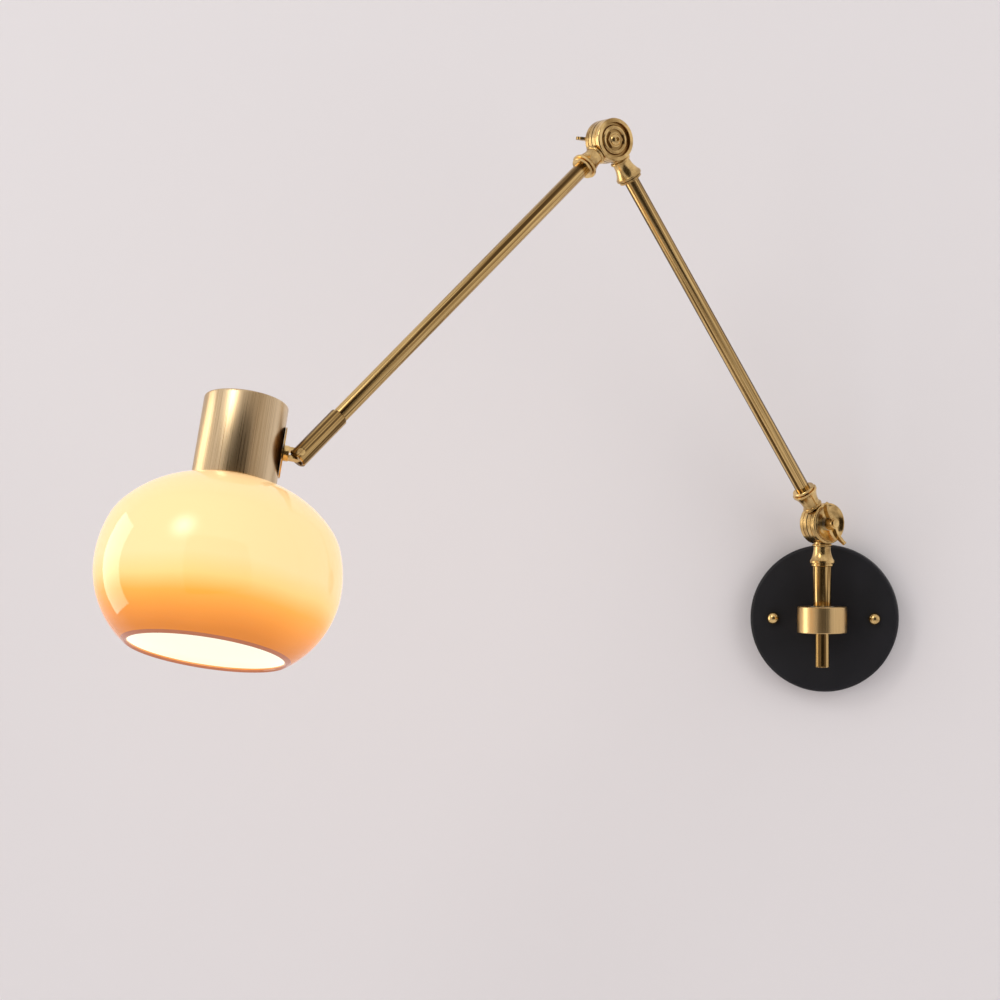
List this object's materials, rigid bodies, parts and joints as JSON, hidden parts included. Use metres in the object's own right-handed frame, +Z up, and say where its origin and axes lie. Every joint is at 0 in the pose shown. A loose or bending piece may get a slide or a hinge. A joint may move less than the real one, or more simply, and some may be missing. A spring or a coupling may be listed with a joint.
{
  "type": "swing-arm wall lamp",
  "caption": "Hinged two-arm wall lamp with swivel stem, wing-nut knuckles, tilting brass cup and open glass shade.",
  "frame": {"origin": "centre of the canopy's back, on the wall", "axes": "+Z up, +Y into the wall, the room towards -Y, +X to the right as seen from the room"},
  "size_m": [0.5362, 0.5015, 0.4451],
  "materials": {
    "black_paint": "matt black paint",
    "zinc_steel": "zinc plated",
    "polished_brass": "polished, lacquered",
    "satin_brass": "fine turned, lacquered",
    "brushed_brass": "brushed along the axis",
    "contact_brass": "bare",
    "nickel": "nickel plated",
    "white_plastic": "moulded",
    "black_plastic": "moulded",
    "bush_plastic": "moulded nylon",
    "lead_jacket": "smooth PVC jacket",
    "dark_fibre": "fibre",
    "amber_glass": "cased opal glass, cream fading to orange, glossy",
    "bulb_glass": "frosted white"
  },
  "bodies": {
    "wall_base": {"wall_bracket": "zinc_steel", "bracket_studs": "zinc_steel", "canopy": "black_paint", "dome_nuts": "polished_brass", "mounting_nipple": "zinc_steel", "canopy_washer": "zinc_steel", "canopy_nut": "zinc_steel", "terminal_block": "white_plastic", "ground_screw": "polished_brass", "hub_shell": "satin_brass", "hub_base": "satin_brass", "hub_bushes": "bush_plastic"},
    "stem": {"swivel_spindle": "polished_brass", "spindle_collar": "zinc_steel", "stem_column": "polished_brass", "stem_lead": "lead_jacket", "lower_dish_knuckle": "polished_brass"},
    "arm_1": {"lower_cap_knuckle": "polished_brass", "lower_pivot_bolt": "polished_brass", "lower_bolt_hex": "polished_brass", "lower_friction_washer": "dark_fibre", "lower_nut_washer": "zinc_steel", "arm_1_tube": "polished_brass", "arm_1_lead": "lead_jacket", "arm_1_lead_bushes": "bush_plastic", "elbow_cap_knuckle": "polished_brass", "elbow_pivot_bolt": "polished_brass", "elbow_bolt_hex": "polished_brass", "elbow_friction_washer": "dark_fibre", "elbow_nut_washer": "zinc_steel"},
    "lower_nut": {"lower_wing_nut": "polished_brass"},
    "elbow_nut": {"elbow_wing_nut": "polished_brass"},
    "arm_2": {"elbow_dish_knuckle": "polished_brass", "arm_2_tube": "polished_brass", "arm_2_lead": "lead_jacket", "arm_2_lead_bushes": "bush_plastic"},
    "sleeve": {"turning_sleeve": "polished_brass", "sleeve_grub_screw": "zinc_steel", "tilt_pin": "zinc_steel"},
    "head": {"head_knuckle": "polished_brass", "side_plate": "satin_brass", "head_nut": "zinc_steel", "cup": "brushed_brass", "top_nipple": "zinc_steel", "top_nut": "nickel", "lampholder_cap": "black_plastic", "lampholder_body": "black_plastic", "lamp_screw_shell": "contact_brass", "lamp_centre_contact": "contact_brass", "shade_seat_ring": "black_plastic", "shade_clamp_ring": "black_plastic", "glass_shade": "amber_glass", "bulb_cap": "nickel", "bulb_globe": "bulb_glass"}
  },
  "joints": [
    {"name": "stem_swivel", "type": "hinge", "parent": "wall_base", "child": "stem", "pos_m": [0, -0.0452, 0], "axis": [0, 0, 1], "range_deg": [-34.2, 125.8]},
    {"name": "lower_tilt", "type": "hinge", "parent": "stem", "child": "arm_1", "pos_m": [0, -0.0452, 0.0777], "axis": [0.6972, -0.7169, 0], "range_deg": [-36.1, 63.9]},
    {"name": "elbow_fold", "type": "hinge", "parent": "arm_1", "child": "arm_2", "pos_m": [-0.15206, -0.19308, 0.36858], "axis": [0.6972, -0.7169, 0], "range_deg": [-96.2, 29.8]},
    {"name": "sleeve_turn", "type": "hinge", "parent": "arm_2", "child": "sleeve", "pos_m": [-0.34295, -0.37871, 0.12629], "axis": [-0.5302, -0.5156, -0.673], "range_deg": [-150, 150]},
    {"name": "head_tilt", "type": "hinge", "parent": "sleeve", "child": "head", "pos_m": [-0.34295, -0.37871, 0.12629], "axis": [0.3137, -0.8568, 0.4093], "range_deg": [-32.6, 57.4]},
    {"name": "lower_nut_turn", "type": "hinge", "parent": "arm_1", "child": "lower_nut", "pos_m": [0.00634, -0.05172, 0.0777], "axis": [0.6972, -0.7169, 0], "range_deg": [0, 180]},
    {"name": "elbow_nut_turn", "type": "hinge", "parent": "arm_1", "child": "elbow_nut", "pos_m": [-0.15841, -0.18655, 0.36858], "axis": [-0.6972, 0.7169, 0], "range_deg": [0, 180]}
  ]
}
